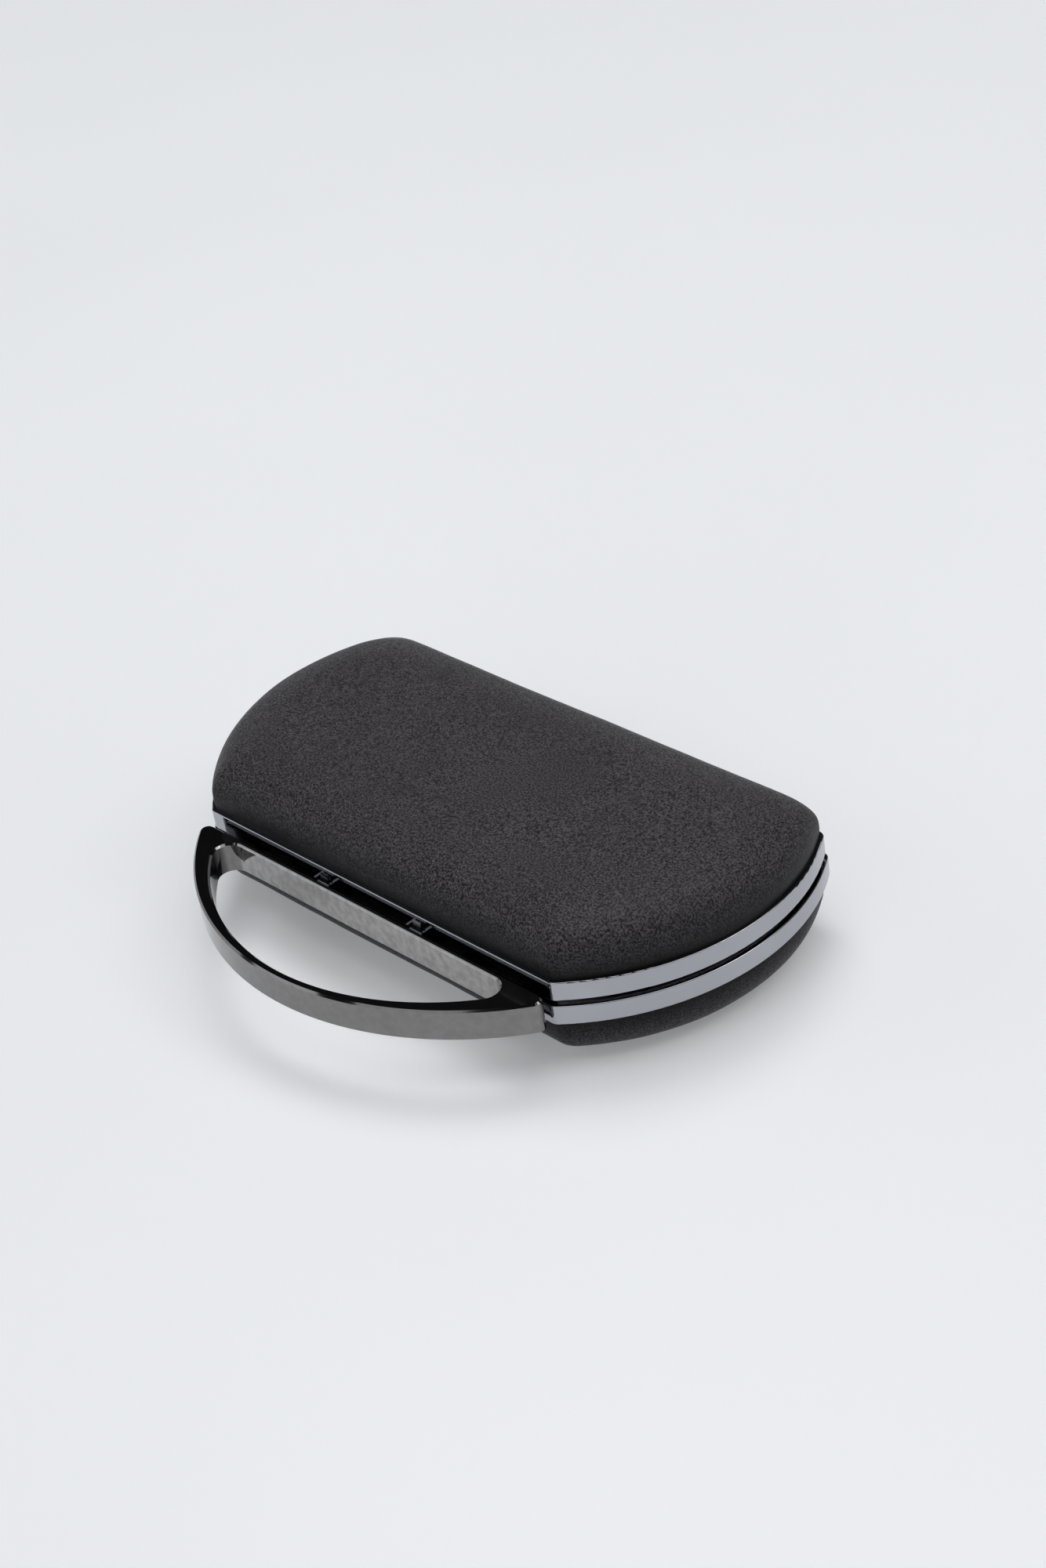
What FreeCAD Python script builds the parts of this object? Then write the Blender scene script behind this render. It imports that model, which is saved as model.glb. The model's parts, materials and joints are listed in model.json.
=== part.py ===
"""Hard-shell clutch purse: two satin-covered half shells in metal frames, joined by a
hinge along the straight base edge, with a D-shaped top handle and two sprung catches.

The purse lies on its back shell.  X runs along the hinge, -Y points to the handle and
+Z points out of the lid.  The origin is on the resting face, under the middle of the
whole purse.  "t" below is the distance out from the parting plane, the same for both
halves; "inset" is the distance in from the outer face of the lid frame.
"""
import FreeCAD, Part
import math
import os

from FreeCAD import Vector

# ------------------------------------------------------------ driving dimensions (mm)
# case outline, at the outer face of the lid frame
CASE_WIDTH = 190.0           # across the two bulging sides
FRONT_WIDTH = 138.0          # straight edge beside the handle
CASE_DEPTH = 90.5            # straight front edge to straight hinge edge
WIDEST_BACK = 53.3           # the widest place, behind the front edge
SHELL_DEPTH = 21.8           # each half, parting plane to outer face
SHOULDER_RADIUS = 9.5        # rounding from the sides into the broad faces
CROWN = 2.0                  # rise of each broad face between its shoulder and its flat
CROWN_RUN = 9.5              # run of that rise past the shoulder's centre
SHOULDER_END = math.radians(70.0)
CORNER_RADIUS = 3.0          # plan corners at the frame
FRONT_CORNER_GROWTH = 1.2    # the corners soften as the outline shrinks inwards
BACK_CORNER_GROWTH = 3.5
SOFTEST_CORNER = 16.0

# metal frames
BAND_HEIGHT = 5.8
PARTING_GAP = 0.7            # from the parting plane to each band
BAND_WALL = 1.2
BASE_BAND_PROUD = 0.6        # the base band stands out past the lid band
BAND_EDGE = 0.35             # rounded edges of the bands
RIM_THICK = 0.8              # retaining rings
RIM_INNER = 6.2
RIM_LEG = 0.8
RIM_LEG_DEPTH = 2.4
LIP_INSET = 1.6              # closing lip inside the lid band
LIP_WALL = 0.8
LIP_HEIGHT = 2.0             # above the parting plane
LID_RIM_T = 2.4              # the lid ring sits above the closing lip

# skins, from the outside in
SKIN_INSET = 1.25            # satin, just inside the bands
COVER_THICK = 0.8
SHELL_THICK = 1.6
LINING_THICK = 1.2
GLUE_LINE = 0.05

# handle
HANDLE_REACH = 38.0          # out from the front edge
HANDLE_HALF_CHORD = 71.6     # where the arc meets the back of the bar
HANDLE_TOP = 3.3             # above the parting plane
HANDLE_THICK = 9.3
HANDLE_GAP = 2.0             # lid frame to the back of the bar
BAR_WIDTH = 2.0
ARC_WIDTH = 2.6              # at the middle of the arc
OPENING_HALF_CHORD = 62.0
OPENING_CORNER = 4.5
HANDLE_END_RADIUS = 2.4
HANDLE_CHAMFER = 0.55
HANDLE_UNDER_CHAMFER = 0.2
LUG_X = (-58.0, -36.0, 36.0, 58.0)
LUG_WIDTH = 6.0
LUG_HEIGHT = 4.6
LUG_T = 3.7                  # middle of the lugs below the parting plane
SCREW_RADIUS = 1.0
SCREW_HEAD_RADIUS = 1.9
SCREW_HEAD_HEIGHT = 0.9
SCREW_BITE = 1.4             # thread length inside the bar

# hinge
HINGE_LENGTH = 70.0
KNUCKLES = 5
KNUCKLE_GAP = 0.2
BARREL_RADIUS = 2.2
SWEEP_CLEARANCE = 0.35
PIN_RADIUS = 1.0
PIN_RUNNING_GAP = 0.05
HINGE_BACK = 3.1             # axis behind the lid frame
LEAF_OUTER = 1.6             # outer face of both leaves behind the lid frame
LEAF_LOW_T = 0.9
LEAF_HIGH_T = 6.4
RIVET_X = (-28.0, -9.5, 9.5, 28.0)
RIVET_T = 4.3
RIVET_RADIUS = 0.8
RIVET_HEAD_RADIUS = 1.4
RIVET_HEAD_HEIGHT = 0.5

# catches
CATCH_X = (-19.0, 19.0)
CATCH_WIDTH = 5.0
CATCH_AXIS_OUT = 0.95        # in front of the lid frame
CATCH_AXIS_T = 1.9
CATCH_PIN_RADIUS = 0.35
CATCH_BORE_GAP = 0.04
CATCH_BARREL = 0.75
CATCH_PLATE = (0.85, 1.3)    # near and far faces, in front of the lid frame
CATCH_DROP = 5.0             # below the parting plane
NIB_NEAR = 0.3
NIB_T = (3.6, 4.6)
NIB_WIDTH = 2.4
NOTCH_WIDTH = 3.2
NOTCH_DEPTH = 0.5
NOTCH_T = 5.1
EAR_WIDTH = 0.8
EAR_GAP = 0.2
EAR_OUT = 1.7
EAR_T = (1.0, 3.4)
SPRING_THICK = 0.2
SPRING_WIDTH = 3.0
SPRING_TOP_T = 5.0
SPRING_TIP_OUT = 0.3

# ------------------------------------------------------------ derived places
PARTING_Z = SHELL_DEPTH
HINGE_REACH = HINGE_BACK + BARREL_RADIUS
TOTAL_LENGTH = HANDLE_REACH + CASE_DEPTH + HINGE_REACH
FRONT_Y = HANDLE_REACH - TOTAL_LENGTH / 2
BACK_Y = FRONT_Y + CASE_DEPTH
SIDE_Y = FRONT_Y + WIDEST_BACK
HALF_WIDTH = CASE_WIDTH / 2
HALF_FRONT = FRONT_WIDTH / 2
SIDE_X = (HALF_WIDTH ** 2 - HALF_FRONT ** 2 - WIDEST_BACK ** 2) / (2 * (HALF_WIDTH - HALF_FRONT))
SIDE_RADIUS = HALF_WIDTH - SIDE_X
HINGE_Y = BACK_Y + HINGE_BACK
BAR_BACK_Y = FRONT_Y - HANDLE_GAP
BAR_INNER_Y = BAR_BACK_Y - BAR_WIDTH
NOSE_Y = FRONT_Y - HANDLE_REACH
HANDLE_LOW_Z = PARTING_Z + HANDLE_TOP - HANDLE_THICK
BAND_END_T = PARTING_GAP + BAND_HEIGHT
X_AXIS = Vector(1, 0, 0)
Y_AXIS = Vector(0, 1, 0)
Z_AXIS = Vector(0, 0, 1)

LID = 1
BASE = -1


# ------------------------------------------------------------ drawing helpers
def box(x0, x1, y0, y1, z0, z1):
    return Part.makeBox(x1 - x0, y1 - y0, z1 - z0, Vector(x0, y0, z0))


def rod(radius, start, axis, length):
    return Part.makeCylinder(radius, length, start, axis)


def corner_arc(centre, radius, start, end):
    """Arc between two points of a circle, bulging away from the case's middle."""
    middle = (start - centre) + (end - centre)
    middle.normalize()
    return Part.Arc(start, centre + middle * radius, end).toShape()


def corner_radius(growth, inset):
    return min(CORNER_RADIUS + growth * max(inset - SKIN_INSET, 0), SOFTEST_CORNER)


def side_tangents(line_y, inward, side_radius, corner):
    """Centre and tangent points of one rounded corner on the +X side, in plan."""
    centre_y = line_y + inward * corner
    reach = side_radius - corner
    centre_x = SIDE_X + math.sqrt(reach ** 2 - (centre_y - SIDE_Y) ** 2)
    scale = side_radius / reach
    on_side = Vector(SIDE_X + (centre_x - SIDE_X) * scale, SIDE_Y + (centre_y - SIDE_Y) * scale, 0)
    return Vector(centre_x, centre_y, 0), Vector(centre_x, line_y, 0), on_side


def flipped(point):
    return Vector(-point.x, point.y, point.z)


def case_outline(inset, z):
    """The case's plan, a given distance inside the lid frame: two straight edges,
    two bulging sides and four rounded corners."""
    front_corner = corner_radius(FRONT_CORNER_GROWTH, inset)
    back_corner = corner_radius(BACK_CORNER_GROWTH, inset)
    radius = SIDE_RADIUS - inset
    front = side_tangents(FRONT_Y + inset, 1, radius, front_corner)
    back = side_tangents(BACK_Y - inset, -1, radius, back_corner)
    widest = Vector(SIDE_X + radius, SIDE_Y, 0)
    edges = [
        Part.makeLine(flipped(front[1]), front[1]),
        corner_arc(front[0], front_corner, front[1], front[2]),
        Part.Arc(front[2], widest, back[2]).toShape(),
        corner_arc(back[0], back_corner, back[2], back[1]),
        Part.makeLine(back[1], flipped(back[1])),
        corner_arc(flipped(back[0]), back_corner, flipped(back[1]), flipped(back[2])),
        Part.Arc(flipped(back[2]), flipped(widest), flipped(front[2])).toShape(),
        corner_arc(flipped(front[0]), front_corner, flipped(front[2]), flipped(front[1])),
    ]
    wire = Part.Wire(edges)
    wire.translate(Vector(0, 0, z))
    return wire


def case_slab(inset, t0, t1):
    return Part.Face(case_outline(inset, t0)).extrude(Z_AXIS * (t1 - t0))


def case_ring(outer, inner, t0, t1):
    margin = 1.0
    return case_slab(outer, t0, t1).cut(case_slab(inner, t0 - margin, t1 + margin))


def dome(offset, t0):
    """Solid of one half from t0 outwards, its surface a given depth under the satin."""
    wall = SKIN_INSET + offset
    arc = SHOULDER_RADIUS - offset
    arc_inset = SKIN_INSET + SHOULDER_RADIUS
    arc_t = SHELL_DEPTH - CROWN - SHOULDER_RADIUS * math.sin(SHOULDER_END)

    def shoulder(angle):
        return case_outline(arc_inset - arc * math.cos(angle), arc_t + arc * math.sin(angle))

    def crown(share):
        start_inset = arc_inset - arc * math.cos(SHOULDER_END)
        start_t = arc_t + arc * math.sin(SHOULDER_END)
        end_inset = arc_inset + CROWN_RUN
        rise = SHELL_DEPTH - offset - start_t
        return case_outline(start_inset + (end_inset - start_inset) * share,
                            start_t + rise * (1 - (1 - share) ** 2))

    side = case_slab(wall, t0, arc_t)
    steps = 5
    round_part = Part.makeLoft([shoulder(SHOULDER_END * k / steps) for k in range(steps + 1)], True)
    top_part = Part.makeLoft([crown(k / 3) for k in range(4)], True)
    return side.fuse([round_part, top_part])


def skin(offset, thickness, t0):
    """One layer of a half: its outside a given depth under the satin, open at t0."""
    margin = 1.0
    return dome(offset, t0).cut(dome(offset + thickness, t0 - margin))


def place(shape, half):
    """Move a shape drawn with the parting plane at z = 0 to the lid or the base."""
    if half == BASE:
        shape = shape.mirror(Vector(0, 0, 0), Z_AXIS)
    shape.translate(Vector(0, 0, PARTING_Z))
    return shape


def rounded(shape, radius, keep_edge):
    return shape.makeFillet(radius, [edge for edge in shape.Edges if keep_edge(edge)])


def lies_at(edge, z):
    bounds = edge.BoundBox
    return abs(bounds.ZMin - z) < 1e-4 and abs(bounds.ZMax - z) < 1e-4


# ------------------------------------------------------------ case halves
COVER_DEPTH = 0.0
SHELL_OFFSET = COVER_DEPTH + COVER_THICK + GLUE_LINE
LINING_OFFSET = SHELL_OFFSET + SHELL_THICK + GLUE_LINE


def band(half):
    """Frame band with softly rounded outer edges, pierced for rivets, screws and nibs."""
    proud = BASE_BAND_PROUD if half == BASE else 0.0
    outer = case_slab(-proud, PARTING_GAP, BAND_END_T)
    outer = rounded(outer, BAND_EDGE, lambda e: lies_at(e, PARTING_GAP) or lies_at(e, BAND_END_T))
    ring = outer.cut(case_slab(BAND_WALL, 0, BAND_END_T + 1))
    for x in RIVET_X:
        ring = ring.cut(rod(RIVET_RADIUS, Vector(x, BACK_Y - 3, RIVET_T), Y_AXIS, 6))
    if half == BASE:
        head_y = FRONT_Y + BAND_WALL
        for x in LUG_X:
            centre = Vector(x, head_y, LUG_T)
            ring = ring.cut(rod(SCREW_HEAD_RADIUS, centre - Y_AXIS * SCREW_HEAD_HEIGHT, Y_AXIS, 3))
            ring = ring.cut(rod(SCREW_RADIUS, centre - Y_AXIS * 4, Y_AXIS, 4))
        for x in CATCH_X:
            face_y = FRONT_Y - BASE_BAND_PROUD
            half_notch = NOTCH_WIDTH / 2
            ring = ring.cut(box(x - half_notch, x + half_notch,
                                face_y - 1, face_y + NOTCH_DEPTH, 0, NOTCH_T))
    return place(ring, half)


def rim_t(half):
    return LID_RIM_T if half == LID else PARTING_GAP


def retaining_ring(half):
    """L-section ring that clamps the edges of satin, shell and lining in the band."""
    t = rim_t(half)
    flange = case_ring(BAND_WALL, RIM_INNER, t, t + RIM_THICK)
    leg = case_ring(RIM_INNER - RIM_LEG, RIM_INNER, t + RIM_THICK, t + RIM_THICK + RIM_LEG_DEPTH)
    return place(flange.fuse(leg), half)


def closing_lip():
    """Lip on the base rim that the lid band closes over."""
    lip = case_ring(LIP_INSET, LIP_INSET + LIP_WALL, -PARTING_GAP, LIP_HEIGHT)
    lip = rounded(lip, LIP_WALL * 0.45, lambda e: lies_at(e, LIP_HEIGHT))
    return place(lip, LID)


def half_skins(half):
    name = "lid" if half == LID else "base"
    t0 = rim_t(half) + RIM_THICK + GLUE_LINE
    return {
        name + "_cover": place(skin(COVER_DEPTH, COVER_THICK, t0), half),
        name + "_shell": place(skin(SHELL_OFFSET, SHELL_THICK, t0), half),
        name + "_lining": place(skin(LINING_OFFSET, LINING_THICK, t0), half),
    }


# ------------------------------------------------------------ handle
def bow_radius(half_chord, sagitta):
    return (half_chord ** 2 + sagitta ** 2) / (2 * sagitta)


def bow_face(half_chord, chord_y, nose_y):
    """Flat face between a straight chord and the arc that bows to the nose."""
    left = Vector(-half_chord, chord_y, HANDLE_LOW_Z)
    right = Vector(half_chord, chord_y, HANDLE_LOW_Z)
    nose = Vector(0, nose_y, HANDLE_LOW_Z)
    return Part.Face(Part.Wire([Part.makeLine(left, right), Part.Arc(right, nose, left).toShape()]))


def is_upright(edge):
    bounds = edge.BoundBox
    return bounds.ZLength > HANDLE_THICK / 2 and bounds.XLength < 0.01


def handle():
    """One-piece D ring: straight bar beside the case and a flat arc around the fingers."""
    body = bow_face(HANDLE_HALF_CHORD, BAR_BACK_Y, NOSE_Y).extrude(Z_AXIS * HANDLE_THICK)
    body = rounded(body, HANDLE_END_RADIUS, is_upright)
    opening = bow_face(OPENING_HALF_CHORD, BAR_INNER_Y, NOSE_Y + ARC_WIDTH)
    opening = rounded(opening.extrude(Z_AXIS * HANDLE_THICK), OPENING_CORNER, is_upright)
    ring = body.cut(opening)
    low, high = HANDLE_LOW_Z, HANDLE_LOW_Z + HANDLE_THICK
    ring = ring.makeChamfer(HANDLE_CHAMFER, [e for e in ring.Edges if lies_at(e, high)])
    ring = ring.makeChamfer(HANDLE_UNDER_CHAMFER, [e for e in ring.Edges if lies_at(e, low)])
    for x in LUG_X:
        hole = rod(SCREW_RADIUS, Vector(x, BAR_BACK_Y - SCREW_BITE, PARTING_Z - LUG_T), Y_AXIS, 3)
        ring = ring.cut(hole)
    return ring


def handle_lugs():
    """Blocks that hold the bar off the base frame."""
    lugs = []
    for x in LUG_X:
        lug = box(x - LUG_WIDTH / 2, x + LUG_WIDTH / 2, BAR_BACK_Y, FRONT_Y - BASE_BAND_PROUD,
                  PARTING_Z - LUG_T - LUG_HEIGHT / 2, PARTING_Z - LUG_T + LUG_HEIGHT / 2)
        hole = rod(SCREW_RADIUS, Vector(x, BAR_BACK_Y - 1, PARTING_Z - LUG_T), Y_AXIS, 5)
        lugs.append(lug.cut(hole))
    return Part.makeCompound(lugs)


def handle_screws():
    """Flush screws driven from inside the base frame into the bar."""
    screws = []
    head_y = FRONT_Y + BAND_WALL
    for x in LUG_X:
        centre = Vector(x, head_y, PARTING_Z - LUG_T)
        head = rod(SCREW_HEAD_RADIUS, centre - Y_AXIS * SCREW_HEAD_HEIGHT, Y_AXIS, SCREW_HEAD_HEIGHT)
        tip_y = BAR_BACK_Y - SCREW_BITE
        shank = rod(SCREW_RADIUS, Vector(x, tip_y, centre.z), Y_AXIS, head_y - tip_y)
        slot = box(x - SCREW_HEAD_RADIUS, x + SCREW_HEAD_RADIUS, head_y - 0.4, head_y + 1,
                   centre.z - 0.25, centre.z + 0.25)
        screws.append(head.fuse(shank).cut(slot))
    return Part.makeCompound(screws)


# ------------------------------------------------------------ hinge
KNUCKLE_PITCH = HINGE_LENGTH / KNUCKLES


def knuckle_span(index):
    start = -HINGE_LENGTH / 2 + index * KNUCKLE_PITCH
    return start + KNUCKLE_GAP / 2, start + KNUCKLE_PITCH - KNUCKLE_GAP / 2


def hinge_leaf(half):
    """Leaf plate with every other knuckle; the base leaf has the two end ones."""
    own = range(0, KNUCKLES, 2) if half == BASE else range(1, KNUCKLES, 2)
    others = range(1, KNUCKLES, 2) if half == BASE else range(0, KNUCKLES, 2)
    near = BACK_Y + (BASE_BAND_PROUD if half == BASE else 0.0)
    reach = HINGE_LENGTH / 2
    leaf = box(-reach, reach, near, BACK_Y + LEAF_OUTER, LEAF_LOW_T, LEAF_HIGH_T)
    for index in own:
        x0, x1 = knuckle_span(index)
        barrel = rod(BARREL_RADIUS, Vector(x0, HINGE_Y, 0), X_AXIS, x1 - x0)
        root = box(x0, x1, near, HINGE_Y - PIN_RADIUS, 0.6 * LEAF_LOW_T, LEAF_LOW_T + 1)
        leaf = leaf.fuse([barrel, root.common(box(x0, x1, near, HINGE_Y, LEAF_LOW_T, LEAF_HIGH_T))])
    bore = PIN_RADIUS if half == BASE else PIN_RADIUS + PIN_RUNNING_GAP
    leaf = leaf.cut(rod(bore, Vector(-reach - 1, HINGE_Y, 0), X_AXIS, HINGE_LENGTH + 2))
    for index in others:
        x0, x1 = knuckle_span(index)
        leaf = leaf.cut(rod(BARREL_RADIUS + SWEEP_CLEARANCE, Vector(x0 - KNUCKLE_GAP, HINGE_Y, 0),
                            X_AXIS, x1 - x0 + 2 * KNUCKLE_GAP))
    for x in RIVET_X:
        leaf = leaf.cut(rod(RIVET_RADIUS, Vector(x, near - 1, RIVET_T), Y_AXIS, 5))
    return place(leaf, half)


def hinge_rivets(half):
    rivets = []
    face_y = BACK_Y + LEAF_OUTER
    inner_y = BACK_Y - BAND_WALL
    for x in RIVET_X:
        shank = rod(RIVET_RADIUS, Vector(x, inner_y, RIVET_T), Y_AXIS, face_y - inner_y)
        head = Part.makeCone(RIVET_HEAD_RADIUS, RIVET_HEAD_RADIUS * 0.6, RIVET_HEAD_HEIGHT,
                             Vector(x, face_y, RIVET_T), Y_AXIS)
        rivets.append(shank.fuse(head))
    return place(Part.makeCompound(rivets), half)


def hinge_pin():
    reach = HINGE_LENGTH / 2 + 0.6
    return rod(PIN_RADIUS, Vector(-reach, HINGE_Y, PARTING_Z), X_AXIS, 2 * reach)


# ------------------------------------------------------------ catches
def front_box(x0, x1, out0, out1, t0, t1):
    """Box placed by its distance in front of the lid frame and from the parting plane."""
    return box(x0, x1, FRONT_Y - out1, FRONT_Y - out0, PARTING_Z + t0, PARTING_Z + t1)


def catch_rod(radius, x0, x1):
    start = Vector(x0, FRONT_Y - CATCH_AXIS_OUT, PARTING_Z + CATCH_AXIS_T)
    return rod(radius, start, X_AXIS, x1 - x0)


def catch_tab(x):
    """Hanging plate with a rolled top and an inward nib."""
    x0, x1 = x - CATCH_WIDTH / 2, x + CATCH_WIDTH / 2
    near, far = CATCH_PLATE
    plate = front_box(x0, x1, near, far, -CATCH_DROP, CATCH_AXIS_T)
    nib = front_box(x - NIB_WIDTH / 2, x + NIB_WIDTH / 2, NIB_NEAR, near + 0.1, -NIB_T[1], -NIB_T[0])
    tab = plate.fuse([catch_rod(CATCH_BARREL, x0, x1), nib])
    return tab.cut(catch_rod(CATCH_PIN_RADIUS + CATCH_BORE_GAP, x0 - 1, x1 + 1))


def catch_spring(x):
    """Flat spring from the top of the tab's roll up to the lid frame."""
    root_out = CATCH_AXIS_OUT
    root_t = CATCH_AXIS_T + CATCH_BARREL + GLUE_LINE
    profile = [(root_out, root_t), (SPRING_TIP_OUT, SPRING_TOP_T),
               (SPRING_TIP_OUT + SPRING_THICK, SPRING_TOP_T), (root_out + SPRING_THICK, root_t)]
    points = [Vector(x - SPRING_WIDTH / 2, FRONT_Y - out, PARTING_Z + t) for out, t in profile]
    face = Part.Face(Part.makePolygon(points + points[:1]))
    return face.extrude(X_AXIS * SPRING_WIDTH)


def catch_brackets():
    """Pairs of ears on the lid frame that carry the catch pins."""
    ears = []
    for x in CATCH_X:
        for side in (-1, 1):
            near = x + side * (CATCH_WIDTH / 2 + EAR_GAP)
            far = near + side * EAR_WIDTH
            ear = front_box(min(near, far), max(near, far), 0, EAR_OUT, *EAR_T)
            ears.append(ear.cut(catch_rod(CATCH_PIN_RADIUS, min(near, far) - 1, max(near, far) + 1)))
    return Part.makeCompound(ears)


def catch_pins():
    reach = CATCH_WIDTH / 2 + EAR_GAP + EAR_WIDTH
    return Part.makeCompound([catch_rod(CATCH_PIN_RADIUS, x - reach, x + reach) for x in CATCH_X])


# ------------------------------------------------------------ the whole purse
def purse():
    parts = {}
    for half, name in ((BASE, "base"), (LID, "lid")):
        parts[name + "_frame"] = band(half)
        parts[name + "_retaining_ring"] = retaining_ring(half)
        parts.update(half_skins(half))
        parts["hinge_" + name + "_leaf"] = hinge_leaf(half)
        parts["hinge_" + name + "_rivets"] = hinge_rivets(half)
    parts["closing_lip"] = closing_lip()
    parts["handle"] = handle()
    parts["handle_lugs"] = handle_lugs()
    parts["handle_screws"] = handle_screws()
    parts["hinge_pin"] = hinge_pin()
    parts["catch_brackets"] = catch_brackets()
    parts["catch_pins"] = catch_pins()
    for x, side in zip(CATCH_X, ("left", "right")):
        parts["catch_tab_" + side] = catch_tab(x)
        parts["catch_spring_" + side] = catch_spring(x)
    return parts


os.makedirs("parts", exist_ok=True)
for node, shape in purse().items():
    shape.exportStep("parts/" + node + ".step")
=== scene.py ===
import json
import math

import bmesh
import bpy
from mathutils import Matrix, Vector, noise


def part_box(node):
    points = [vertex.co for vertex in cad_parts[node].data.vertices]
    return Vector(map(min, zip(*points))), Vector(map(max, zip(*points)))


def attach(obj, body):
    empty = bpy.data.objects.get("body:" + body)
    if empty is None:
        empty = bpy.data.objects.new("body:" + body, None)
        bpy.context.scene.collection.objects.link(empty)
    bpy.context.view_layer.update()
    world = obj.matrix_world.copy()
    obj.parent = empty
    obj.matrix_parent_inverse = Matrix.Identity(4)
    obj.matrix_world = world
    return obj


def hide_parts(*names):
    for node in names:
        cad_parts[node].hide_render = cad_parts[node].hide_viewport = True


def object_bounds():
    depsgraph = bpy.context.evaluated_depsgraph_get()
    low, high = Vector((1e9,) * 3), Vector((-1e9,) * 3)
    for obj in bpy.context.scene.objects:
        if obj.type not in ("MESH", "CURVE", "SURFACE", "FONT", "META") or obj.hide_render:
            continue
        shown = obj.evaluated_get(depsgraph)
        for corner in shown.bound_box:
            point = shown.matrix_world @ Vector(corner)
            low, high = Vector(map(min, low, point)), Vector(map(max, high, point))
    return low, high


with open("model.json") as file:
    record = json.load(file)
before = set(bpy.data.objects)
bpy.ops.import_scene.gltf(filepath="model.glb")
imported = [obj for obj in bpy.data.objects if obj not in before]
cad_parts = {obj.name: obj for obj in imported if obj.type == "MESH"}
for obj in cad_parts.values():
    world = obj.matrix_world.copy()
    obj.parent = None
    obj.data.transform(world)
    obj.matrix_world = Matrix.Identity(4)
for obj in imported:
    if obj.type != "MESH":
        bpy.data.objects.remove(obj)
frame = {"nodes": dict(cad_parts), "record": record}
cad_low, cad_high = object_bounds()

# Lengths are in metres unless a name ends in _mm.  The purse lies on its base shell:
# X along the hinge, -Y towards the handle, +Z out of the lid.
MM = 0.001

# ------------------------------------------------------------ the case, from the frame
lid_low, lid_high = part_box("lid_frame")
base_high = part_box("base_frame")[1]
cover_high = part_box("lid_cover")[1]
PARTING = (lid_low.z + base_high.z) / 2
SHELL_DEPTH = (cover_high.z - PARTING) / MM
HALF_WIDTH = lid_high.x / MM
FRONT_Y = lid_low.y / MM
BACK_Y = lid_high.y / MM
BAND_END_T = (lid_high.z - PARTING) / MM

HALF_FRONT = 69.0
WIDEST_BACK = 53.3
SIDE_Y = FRONT_Y + WIDEST_BACK
SIDE_X = (HALF_WIDTH ** 2 - HALF_FRONT ** 2 - WIDEST_BACK ** 2) / (2 * (HALF_WIDTH - HALF_FRONT))
SIDE_RADIUS = HALF_WIDTH - SIDE_X
SKIN_INSET = 1.25
FRAME_CORNER = 3.0
FRONT_CORNER_GROWTH = 1.2
BACK_CORNER_GROWTH = 3.5
SOFTEST_CORNER = 16.0
SHOULDER_RADIUS = 9.5
SHOULDER_END = math.radians(70.0)
CROWN = 2.0
CROWN_RUN = 9.5
PILLOW = 0.35                # last rise of the broad face, edge of the crown to middle

COVER_THICK = 0.8
LINING_OFFSET = 2.5
LINING_THICK = 1.2
RING_STACK = 0.85            # rim of the soft skins past the retaining ring
PAINTED_SHADE_STRIP = 11            # painted shade: the satin is coloured darker over this strip beside the bands
FLOOR_DROP = 0.6             # the floor lies this far under the CAD model

LID = 1
BASE = -1

# ------------------------------------------------------------ mesh steps
STRAIGHT_STEPS = 34
FRONT_CORNER_STEPS = 10
SIDE_STEPS = 64
BACK_CORNER_STEPS = 12
WALL_STEPS = 9
SHOULDER_STEPS = 14
CROWN_STEPS = 8
FACE_STEPS = 16
SPINE_SHARE = 0.92           # length of the closing line against the side arcs' centres
MERGE_GAP = 0.02

# ------------------------------------------------------------ swell of the soft skins
CORNER_FADE = 17.0
SATIN_SEED = 17.0
WIDE_SWELL = 0.30
WIDE_LENGTH = 31
FINE_SWELL = 0.10
FINE_LENGTH = 12
TUCK_DEPTH = 0.30
TUCK_LENGTH = 2.1
TUCK_HEIGHT = 16
TUCKS_ALONG_SIDES = 0.18     # share of the tucks that is left away from the corners
ROLL = 0.22                  # padded roll beside the band
LINING_SEED = 29.0
GATHER_DEPTH = 0.28
GATHER_LENGTH = 3.4
GATHER_HEIGHT = 14
PUCKER_DEPTH = 0.16
PUCKER_LENGTH = 9


def smooth_step(low, high, value):
    share = min(max((value - low) / (high - low), 0.0), 1.0)
    return share * share * (3 - 2 * share)


# ------------------------------------------------------------ dome meshes
def corner_radius(growth, inset):
    return min(FRAME_CORNER + growth * max(inset - SKIN_INSET, 0), SOFTEST_CORNER)


def arc_points(centre, radius, start, end, count):
    points = []
    for k in range(count):
        angle = start + (end - start) * k / count
        points.append((centre[0] + radius * math.cos(angle), centre[1] + radius * math.sin(angle)))
    return points


def rounded_corner(line_y, inward, side_radius, radius):
    """Centre of one rounded corner and the angle where it meets the bulging side."""
    centre_y = line_y + inward * radius
    reach = side_radius - radius
    centre_x = SIDE_X + math.sqrt(reach ** 2 - (centre_y - SIDE_Y) ** 2)
    return (centre_x, centre_y), math.atan2(centre_y - SIDE_Y, centre_x - SIDE_X)


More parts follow.
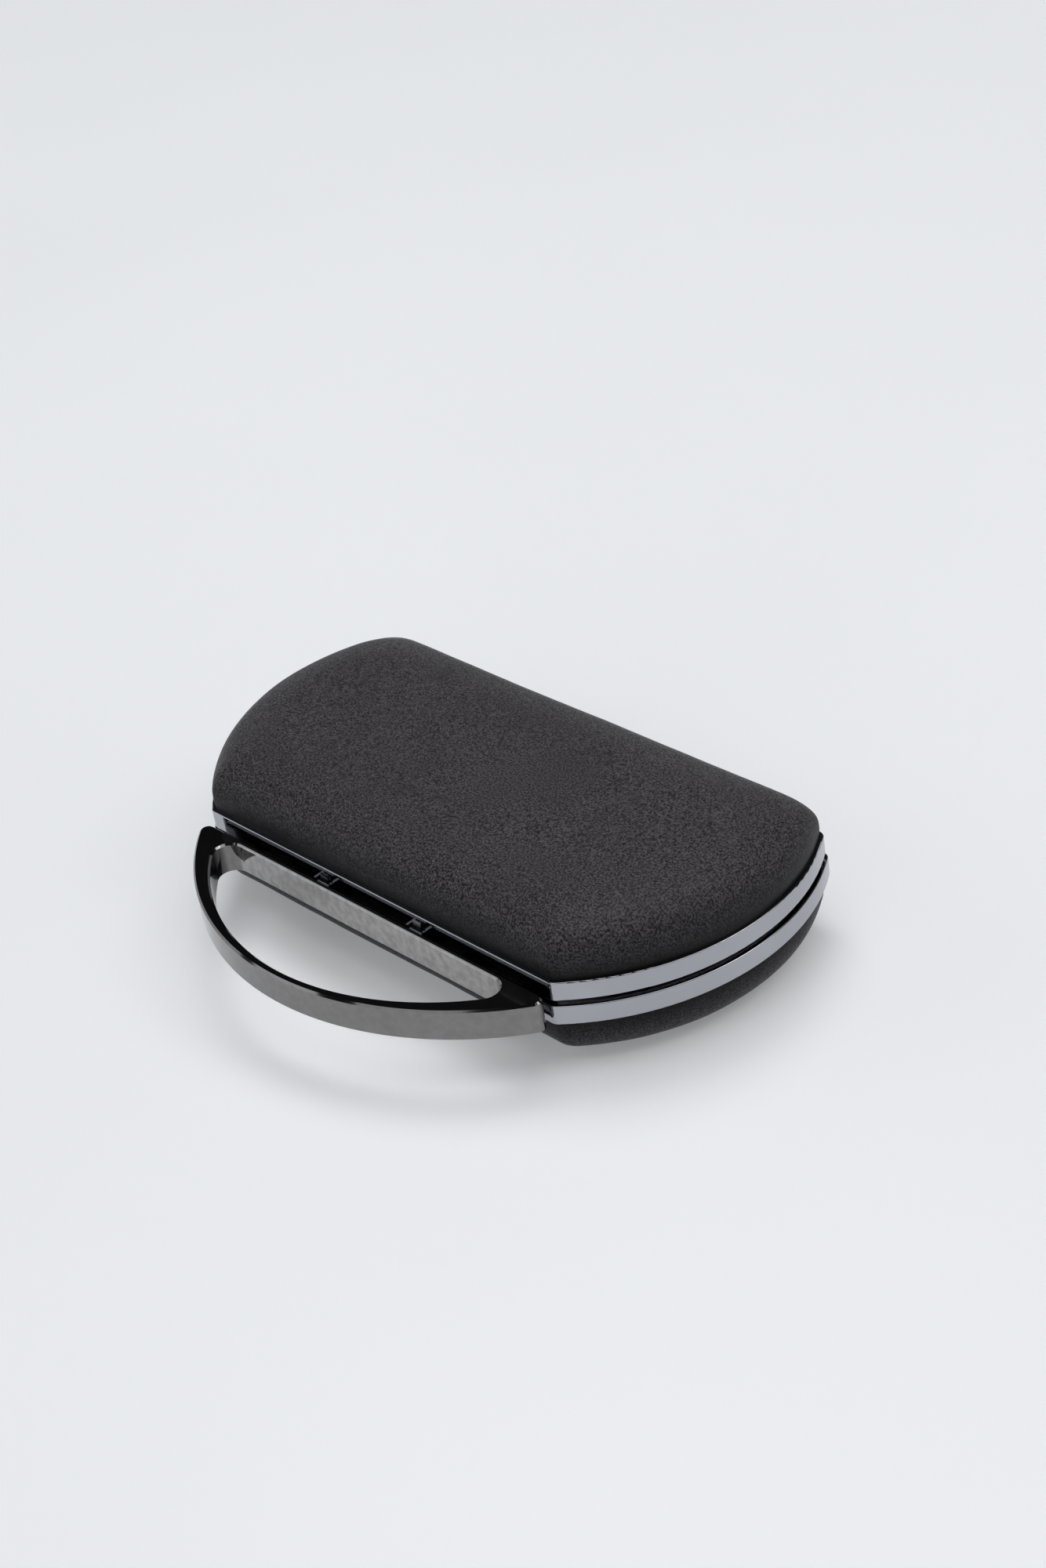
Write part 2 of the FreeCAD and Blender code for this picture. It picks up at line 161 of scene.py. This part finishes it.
def case_outline(inset):
    """Closed plan of the case (mm), a distance inside the lid frame, always with the
    same number of points in the same places, so that outlines can be skinned."""
    side = SIDE_RADIUS - inset
    front_radius = corner_radius(FRONT_CORNER_GROWTH, inset)
    back_radius = corner_radius(BACK_CORNER_GROWTH, inset)
    front, front_angle = rounded_corner(FRONT_Y + inset, 1, side, front_radius)
    back, back_angle = rounded_corner(BACK_Y - inset, -1, side, back_radius)
    quarter = math.pi / 2
    shares = [k / STRAIGHT_STEPS for k in range(STRAIGHT_STEPS)]
    right = [(front[0] * share, FRONT_Y + inset) for share in shares]
    right += arc_points(front, front_radius, -quarter, front_angle, FRONT_CORNER_STEPS)
    right += arc_points((SIDE_X, SIDE_Y), side, front_angle, back_angle, SIDE_STEPS)
    right += arc_points(back, back_radius, back_angle, quarter, BACK_CORNER_STEPS)
    right += [(back[0] * (1 - share), BACK_Y - inset) for share in shares]
    middle_back = (0.0, BACK_Y - inset)
    left = [(-x, y) for x, y in reversed(right[1:])]
    return right + [middle_back] + left


def dome_profile(offset, start_t):
    """Stations (inset, distance from the parting plane) of a skin, a given depth under
    the satin, from its edge inside the frame over the shoulder to the crown."""
    arc = SHOULDER_RADIUS - offset
    arc_inset = SKIN_INSET + SHOULDER_RADIUS
    arc_t = SHELL_DEPTH - CROWN - SHOULDER_RADIUS * math.sin(SHOULDER_END)
    stations = []
    for k in range(WALL_STEPS):
        stations.append((SKIN_INSET + offset, start_t + (arc_t - start_t) * k / WALL_STEPS))
    for k in range(SHOULDER_STEPS + 1):
        angle = SHOULDER_END * k / SHOULDER_STEPS
        stations.append((arc_inset - arc * math.cos(angle), arc_t + arc * math.sin(angle)))
    edge_inset, edge_t = stations[-1]
    end_inset = arc_inset + CROWN_RUN
    end_t = SHELL_DEPTH - offset
    for k in range(1, CROWN_STEPS + 1):
        share = k / CROWN_STEPS
        rise = (end_t - edge_t) * (1 - (1 - share) ** 2)
        stations.append((edge_inset + (end_inset - edge_inset) * share, edge_t + rise))
    return stations


def dome_rings(offset, start_t):
    """Rings of points (mm, t outwards) over a whole half shell, the last one closed up
    on a line along the middle."""
    rings = []
    for inset, t in dome_profile(offset, start_t):
        rings.append([(x, y, t) for x, y in case_outline(inset)])
    edge = rings[-1]
    for k in range(1, FACE_STEPS + 1):
        share = 1 - k / FACE_STEPS
        rise = PILLOW * (1 - share ** 2)
        ring = []
        for x, y, t in edge:
            spine_x = min(max(x, -SIDE_X), SIDE_X) * SPINE_SHARE
            face_x = spine_x + (x - spine_x) * share
            ring.append((face_x, SIDE_Y + (y - SIDE_Y) * share, t + rise))
        rings.append(ring)
    return rings


def add_rings(bm, rings, half):
    made = []
    for ring in rings:
        places = [(x * MM, y * MM, PARTING + half * t * MM) for x, y, t in ring]
        made.append([bm.verts.new(place) for place in places])
    for near, far in zip(made, made[1:]):
        count = len(near)
        for k in range(count):
            after = (k + 1) % count
            bm.faces.new((near[k], near[after], far[after], far[k]))
    return made


def corner_nearness(point):
    """1 at the case's corners in plan, fading over a few centimetres."""
    best = 0.0
    for corner_y in (FRONT_Y, BACK_Y):
        away = Vector((abs(point.x) / MM - HALF_FRONT, point.y / MM - corner_y))
        best = max(best, math.exp(-(away.length / CORNER_FADE) ** 2))
    return best


def satin_swell(point, seed):
    """How far the stretched satin stands off its smooth dome (mm)."""
    t = abs(point.z - PARTING) / MM
    place = point / MM + Vector((seed, 0, 0))
    visible = smooth_step(BAND_END_T, BAND_END_T + 2.5, t)
    near_band = visible * (1 - smooth_step(BAND_END_T + 2, BAND_END_T + 9, t))
    broad = WIDE_SWELL * noise.noise(place / WIDE_LENGTH)
    broad += FINE_SWELL * noise.noise(place / FINE_LENGTH)
    around = Vector((place.x / TUCK_LENGTH, place.y / TUCK_LENGTH, t / TUCK_HEIGHT))
    gathered = TUCKS_ALONG_SIDES + corner_nearness(point)
    tucks = TUCK_DEPTH * noise.noise(around) * near_band * gathered
    return (broad * visible + tucks + ROLL * near_band) * MM


def lining_swell(point, seed):
    """Small puckers and soft gathers of the loosely fitted lining (mm)."""
    t = abs(point.z - PARTING) / MM
    place = point / MM + Vector((seed, 0, 0))
    side_wall = 1 - smooth_step(SHELL_DEPTH - 9, SHELL_DEPTH - 4, t)
    around = Vector((place.x / GATHER_LENGTH, place.y / GATHER_LENGTH, t / GATHER_HEIGHT))
    gathers = GATHER_DEPTH * noise.noise(around) * side_wall
    return (gathers + PUCKER_DEPTH * noise.noise(place / PUCKER_LENGTH)) * MM


def skin_piece(name, half, offset, thickness, start_t, swell, seed, material):
    """One closed skin of a half: two dome surfaces a thickness apart, joined at the rim."""
    bm = bmesh.new()
    outer = add_rings(bm, dome_rings(offset, start_t), half)
    inner = add_rings(bm, dome_rings(offset + thickness, start_t), half)
    count = len(outer[0])
    for k in range(count):
        after = (k + 1) % count
        bm.faces.new((outer[0][after], outer[0][k], inner[0][k], inner[0][after]))
    bmesh.ops.remove_doubles(bm, verts=outer[-1], dist=MERGE_GAP * MM)
    bmesh.ops.remove_doubles(bm, verts=inner[-1], dist=MERGE_GAP * MM)
    bmesh.ops.recalc_face_normals(bm, faces=bm.faces)
    bm.normal_update()
    shown = inner if swell is lining_swell else outer
    moved = [v for ring in shown[:-1] for v in ring] + [v for v in shown[-1] if v.is_valid]
    shifts = [(v, v.normal * swell(v.co, seed)) for v in moved]
    for v, shift in shifts:
        v.co += shift
    bm.normal_update()
    mesh = bpy.data.meshes.new(name)
    bm.to_mesh(mesh)
    bm.free()
    for polygon in mesh.polygons:
        polygon.use_smooth = True
    piece = bpy.data.objects.new(name, mesh)
    bpy.context.scene.collection.objects.link(piece)
    mesh.materials.append(material)
    return piece


# ------------------------------------------------------------ materials
class Shader:
    """A Principled material with a few helpers for its node tree."""

    def __init__(self, name, **settings):
        self.material = bpy.data.materials.new(name)
        self.material.use_nodes = True
        self.tree = self.material.node_tree
        self.bsdf = self.tree.nodes["Principled BSDF"]
        for socket, value in settings.items():
            self.bsdf.inputs[socket.replace("_", " ")].default_value = value
        self.coords = self.tree.nodes.new("ShaderNodeTexCoord").outputs["Object"]

    def node(self, kind, **settings):
        made = self.tree.nodes.new(kind)
        for key, value in settings.items():
            setattr(made, key, value)
        return made

    def link(self, source, target):
        self.tree.links.new(source, target)

    def stretched(self, scale):
        """Object coordinates, scaled unevenly (per metre)."""
        mapping = self.node("ShaderNodeMapping")
        mapping.inputs["Scale"].default_value = scale
        self.link(self.coords, mapping.inputs["Vector"])
        return mapping.outputs["Vector"]

    def noise(self, scale, detail=2.0, roughness=0.5, vector=None):
        made = self.node("ShaderNodeTexNoise")
        made.inputs["Scale"].default_value = scale
        made.inputs["Detail"].default_value = detail
        made.inputs["Roughness"].default_value = roughness
        self.link(vector or self.coords, made.inputs["Vector"])
        return made.outputs["Fac"]

    def wave(self, scale, direction, distortion=0.0):
        made = self.node("ShaderNodeTexWave", wave_type="BANDS", bands_direction=direction)
        made.inputs["Scale"].default_value = scale
        made.inputs["Distortion"].default_value = distortion
        self.link(self.coords, made.inputs["Vector"])
        return made.outputs["Fac"]

    def spread(self, source, low_in, high_in, low_out, high_out):
        made = self.node("ShaderNodeMapRange")
        for socket, value in zip(("From Min", "From Max", "To Min", "To Max"),
                                 (low_in, high_in, low_out, high_out)):
            made.inputs[socket].default_value = value
        self.link(source, made.inputs["Value"])
        return made.outputs["Result"]

    def tints(self, factor, first, second):
        made = self.node("ShaderNodeMix", data_type="RGBA")
        self.link(factor, made.inputs["Factor"])
        for socket, value in (("A", first), ("B", second)):
            target = [s for s in made.inputs if s.name == socket and s.type == "RGBA"][0]
            if isinstance(value, tuple):
                target.default_value = (*value, 1.0)
            else:
                self.link(value, target)
        return [s for s in made.outputs if s.type == "RGBA"][0]

    def product(self, first, second):
        made = self.node("ShaderNodeMath", operation="MULTIPLY")
        self.link(first, made.inputs[0])
        self.link(second, made.inputs[1])
        return made.outputs["Value"]

    def from_parting(self, low, high):
        """0 beside the frame bands, 1 further out on the shells; the satin uses it to paint shade
        beside the bands.
        """
        split = self.node("ShaderNodeSeparateXYZ")
        self.link(self.coords, split.inputs[0])
        lower = self.spread(split.outputs["Z"], PARTING - high, PARTING - low, 1.0, 0.0)
        upper = self.spread(split.outputs["Z"], PARTING + low, PARTING + high, 0.0, 1.0)
        either = self.node("ShaderNodeMath", operation="MAXIMUM")
        self.link(lower, either.inputs[0])
        self.link(upper, either.inputs[1])
        return either.outputs["Value"]

    def edges(self, low, high):
        """1 on worn convex edges, 0 elsewhere."""
        geometry = self.node("ShaderNodeNewGeometry")
        return self.spread(geometry.outputs["Pointiness"], low, high, 0.0, 1.0)

    def colour(self, source):
        self.link(source, self.bsdf.inputs["Base Color"])

    def rough(self, source):
        self.link(source, self.bsdf.inputs["Roughness"])

    def bump(self, source, height, strength=1.0, under=None):
        made = self.node("ShaderNodeBump")
        made.inputs["Distance"].default_value = height
        made.inputs["Strength"].default_value = strength
        self.link(source, made.inputs["Height"])
        if under is not None:
            self.link(under, made.inputs["Normal"])
        self.link(made.outputs["Normal"], self.bsdf.inputs["Normal"])
        return made.outputs["Normal"]


def satin_material():
    """Charcoal satin: long warp floats along X, a fine sparkling grain, a soft sheen, and painted
    shade that darkens its colour beside the frame bands.
    """
    s = Shader("satin_charcoal", Roughness=0.48, Sheen_Weight=0.04, Sheen_Roughness=0.30,
               Sheen_Tint=(0.82, 0.80, 0.86, 1.0), Specular_IOR_Level=0.13)
    grain = s.noise(1750, detail=3.0, roughness=0.75)
    floats = s.noise(1.0, detail=2.0, vector=s.stretched((700, 2400, 2400)))
    cloudy = s.noise(38, detail=3.0)
    sparkle = s.spread(grain, 0.41, 0.63, 0.0, 1.0)
    thread = s.tints(sparkle, (0.0020, 0.0018, 0.0021), (0.112, 0.1035, 0.1125))
    toned = s.tints(s.spread(cloudy, 0.3, 0.7, 0.0, 0.30), thread, (0.022, 0.0205, 0.0225))
    # painted shade: the satin's colour goes near black beside the frame bands and fades into the
    # cloth further out
    painted_shade_fade = s.from_parting(BAND_END_T * MM, (BAND_END_T + PAINTED_SHADE_STRIP) * MM)
    s.colour(s.tints(painted_shade_fade, (0.003, 0.003, 0.003), toned))
    s.rough(s.spread(floats, 0.3, 0.7, 0.42, 0.56))
    weave = s.bump(floats, 0.00006, strength=0.35)
    s.bump(grain, 0.00006, strength=0.35, under=weave)
    return s.material


def lining_material():
    """Matt twill lining, plum black, with diagonal ribs."""
    s = Shader("lining_twill", Roughness=0.78, Sheen_Weight=0.25, Sheen_Roughness=0.6,
               Sheen_Tint=(0.6, 0.55, 0.62, 1.0), Specular_IOR_Level=0.3)
    ribs = s.wave(520, "DIAGONAL", distortion=0.6)
    fuzz = s.noise(900, detail=3.0)
    cloudy = s.noise(30, detail=2.0)
    thread = s.tints(s.spread(ribs, 0.0, 1.0, 0.0, 1.0),
                     (0.030, 0.026, 0.031), (0.060, 0.053, 0.062))
    s.colour(s.tints(s.spread(cloudy, 0.3, 0.7, 0.0, 0.5), thread, (0.040, 0.036, 0.042)))
    s.rough(s.spread(fuzz, 0.3, 0.7, 0.68, 0.88))
    under = s.bump(ribs, 0.00012, strength=0.5)
    s.bump(fuzz, 0.00008, strength=0.4, under=under)
    return s.material


def board_material():
    """Pressed shell board, matt and slightly fibrous."""
    s = Shader("shell_board", Roughness=0.8, Specular_IOR_Level=0.3)
    fibres = s.noise(1.0, detail=4.0, vector=s.stretched((180, 900, 900)))
    s.colour(s.tints(s.spread(fibres, 0.3, 0.7, 0.0, 1.0),
                     (0.050, 0.047, 0.044), (0.11, 0.105, 0.10)))
    s.rough(s.spread(fibres, 0.3, 0.7, 0.72, 0.9))
    s.bump(fibres, 0.0001, strength=0.5)
    return s.material


def plated_material(name, plate, worn, roughness, hairline):
    """Polished plating with handling smudges, faint polishing lines and brighter edges."""
    s = Shader(name, Metallic=1.0, Roughness=roughness)
    smudge = s.noise(32, detail=3.0, roughness=0.55)
    lines = s.noise(1.0, detail=3.0, vector=s.stretched(hairline))
    wear = s.spread(s.noise(420, detail=3.0), 0.35, 0.65, 0.2, 0.5)
    edge = s.product(s.edges(0.54, 0.62), wear)
    darker = tuple(c * 0.93 for c in plate)
    body = s.tints(s.spread(smudge, 0.3, 0.7, 0.0, 1.0), darker, plate)
    s.colour(s.tints(edge, body, worn))
    handled = s.product(smudge, lines)
    s.rough(s.spread(handled, 0.08, 0.45, roughness * 0.85, roughness * 1.25))
    s.bump(lines, 0.000012, strength=0.10)
    return s.material


def floor_material():
    """Glossy white acrylic, glowing a little so that shadows stay soft, and paler far away."""
    s = Shader("studio_floor", Roughness=0.38, Specular_IOR_Level=0.35,
               Emission_Color=(0.96, 0.98, 1.0, 1.0))
    tone = s.noise(2.2, detail=2.0)
    s.colour(s.tints(s.spread(tone, 0.3, 0.7, 0.0, 1.0),
                     (0.79, 0.805, 0.83), (0.82, 0.835, 0.86)))
    s.rough(s.spread(s.noise(6, detail=3.0), 0.3, 0.7, 0.33, 0.42))
    away = s.node("ShaderNodeVectorMath", operation="LENGTH")
    s.link(s.coords, away.inputs[0])
    near_reach, far_reach = 0.6, 2.8
    near_glow, far_glow = 0.195, 0.50
    glow = s.spread(away.outputs["Value"], near_reach, far_reach, near_glow, far_glow)
    s.link(glow, s.bsdf.inputs["Emission Strength"])
    return s.material


# ------------------------------------------------------------ soft pieces
satin = satin_material()
lining = lining_material()

# the soft skins start a little past the retaining rings
rim_t = {LID: (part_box("lid_retaining_ring")[0].z - PARTING) / MM,
         BASE: (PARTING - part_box("base_retaining_ring")[1].z) / MM}
for half, body in ((LID, "lid"), (BASE, "base")):
    start_t = rim_t[half] + RING_STACK
    cover = skin_piece(body + "_satin", half, 0.0, COVER_THICK, start_t, satin_swell,
                       SATIN_SEED * half, satin)
    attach(cover, body)
    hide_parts(body + "_cover")
    inside = skin_piece(body + "_twill", half, LINING_OFFSET, LINING_THICK, start_t, lining_swell,
                        LINING_SEED * half, lining)
    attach(inside, body)
    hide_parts(body + "_lining")

# ------------------------------------------------------------ metal and board, by the record's slots
finishes = {
    "gunmetal": plated_material(
        "gunmetal_plate", plate=(0.40, 0.405, 0.44), worn=(0.62, 0.62, 0.65),
        roughness=0.09, hairline=(40, 40, 1500)),
    "handle_metal": plated_material(
        "handle_plate", plate=(0.185, 0.18, 0.178), worn=(0.50, 0.49, 0.48),
        roughness=0.08, hairline=(40, 40, 1500)),
    "dark_metal": plated_material(
        "dark_plate", plate=(0.085, 0.085, 0.09), worn=(0.30, 0.30, 0.31),
        roughness=0.18, hairline=(60, 60, 1200)),
    "steel": plated_material(
        "plain_steel", plate=(0.45, 0.45, 0.46), worn=(0.65, 0.65, 0.65),
        roughness=0.25, hairline=(90, 900, 900)),
    "shell_board": board_material(),
}
for part in frame["record"]["subparts"]:
    node, finish = part["node"], part["material_slot"]
    if node.startswith("catch_"):
        finish = "dark_metal"
    if finish in finishes:
        for slot in frame["nodes"][node].material_slots:
            slot.material = finishes[finish]


# ------------------------------------------------------------ stage, light and camera
def stage_floor():
    """A round white table whose rim sweeps up into the backdrop on every side."""
    flat_radius = 2.2
    sweep_radius = 1.2
    around = 96
    flat_steps = 8
    sweep_steps = 12
    profile = [(flat_radius * k / flat_steps, 0.0) for k in range(1, flat_steps + 1)]
    for k in range(1, sweep_steps + 1):
        angle = math.pi / 2 * k / sweep_steps
        profile.append((flat_radius + sweep_radius * math.sin(angle),
                        sweep_radius * (1 - math.cos(angle))))
    bm = bmesh.new()
    middle = bm.verts.new((0, 0, 0))
    rings = []
    turns = [math.tau * k / around for k in range(around)]
    for radius, height in profile:
        places = [(radius * math.cos(a), radius * math.sin(a), height) for a in turns]
        rings.append([bm.verts.new(place) for place in places])
    for k in range(around):
        after = (k + 1) % around
        bm.faces.new((middle, rings[0][k], rings[0][after]))
        for near, far in zip(rings, rings[1:]):
            bm.faces.new((near[k], far[k], far[after], near[after]))
    mesh = bpy.data.meshes.new("floor")
    bm.to_mesh(mesh)
    bm.free()
    for polygon in mesh.polygons:
        polygon.use_smooth = True
    floor = bpy.data.objects.new("floor", mesh)
    floor.location.z = cad_low.z - FLOOR_DROP * MM
    mesh.materials.append(floor_material())
    bpy.context.scene.collection.objects.link(floor)


def softbox(name, direction, distance, size, power, tint=(1.0, 1.0, 1.0)):
    light = bpy.data.lights.new(name, "AREA")
    light.shape = "RECTANGLE"
    light.size, light.size_y = size
    light.energy = power
    light.color = tint
    lamp = bpy.data.objects.new(name, light)
    towards = Vector(direction).normalized()
    lamp.location = towards * distance
    lamp.rotation_mode = "QUATERNION"
    lamp.rotation_quaternion = towards.to_track_quat("Z", "Y")
    bpy.context.scene.collection.objects.link(lamp)


def studio_world(colour, strength):
    world = bpy.data.worlds.new("studio")
    world.use_nodes = True
    background = world.node_tree.nodes["Background"]
    background.inputs["Color"].default_value = (*colour, 1.0)
    background.inputs["Strength"].default_value = strength
    bpy.context.scene.world = world
    bpy.context.scene.view_settings.view_transform = "Standard"


def place_camera(azimuth, elevation, roll, origin_in_view, long_side_lens):
    """origin_in_view is the frame's origin in camera axes: right, down and ahead."""
    a, e, r = (math.radians(v) for v in (azimuth, elevation, roll))
    ahead = Vector((-math.sin(a) * math.cos(e), math.cos(a) * math.cos(e), -math.sin(e)))
    level = Vector((math.cos(a), math.sin(a), 0))
    down = ahead.cross(level)
    right = level * math.cos(r) - down * math.sin(r)
    below = level * math.sin(r) + down * math.cos(r)
    across, under, depth = origin_in_view
    place = -(right * across + below * under + ahead * depth)
    turn = Matrix((right, -below, -ahead)).transposed().to_4x4()
    camera = bpy.data.cameras.new("camera")
    camera.sensor_width = 36.0
    camera.lens = long_side_lens
    camera.clip_start = 0.01
    camera.clip_end = 50.0
    seat = bpy.data.objects.new("camera", camera)
    seat.matrix_world = Matrix.Translation(place) @ turn
    bpy.context.scene.collection.objects.link(seat)
    bpy.context.scene.camera = seat


stage_floor()
studio_world(colour=(0.80, 0.84, 0.90), strength=0.02)
softbox("softbox_top", direction=(0.10, 0.08, 1.0), distance=1.7, size=(1.9, 1.9), power=14.5)
softbox("softbox_back", direction=(-0.32, 0.32, 0.92), distance=1.5, size=(0.7, 0.7), power=4.5)
softbox("softbox_key", direction=(0.60, 0.40, 0.72), distance=1.5, size=(0.6, 0.6), power=2.8,
        tint=(1.0, 0.99, 0.98))
softbox("softbox_left", direction=(-0.66, -0.50, 0.51), distance=1.6, size=(1.1, 0.5), power=2.0,
        tint=(0.94, 0.97, 1.0))
softbox("softbox_front", direction=(0.20, -0.75, 0.62), distance=1.8, size=(1.6, 0.7), power=2.8)
place_camera(azimuth=50.47, elevation=32.98, roll=-9.29,
             origin_in_view=(-0.01712, 0.03911, 0.75154), long_side_lens=61.2)

# ------------------------------------------------------------ the end
bpy.context.view_layer.update()
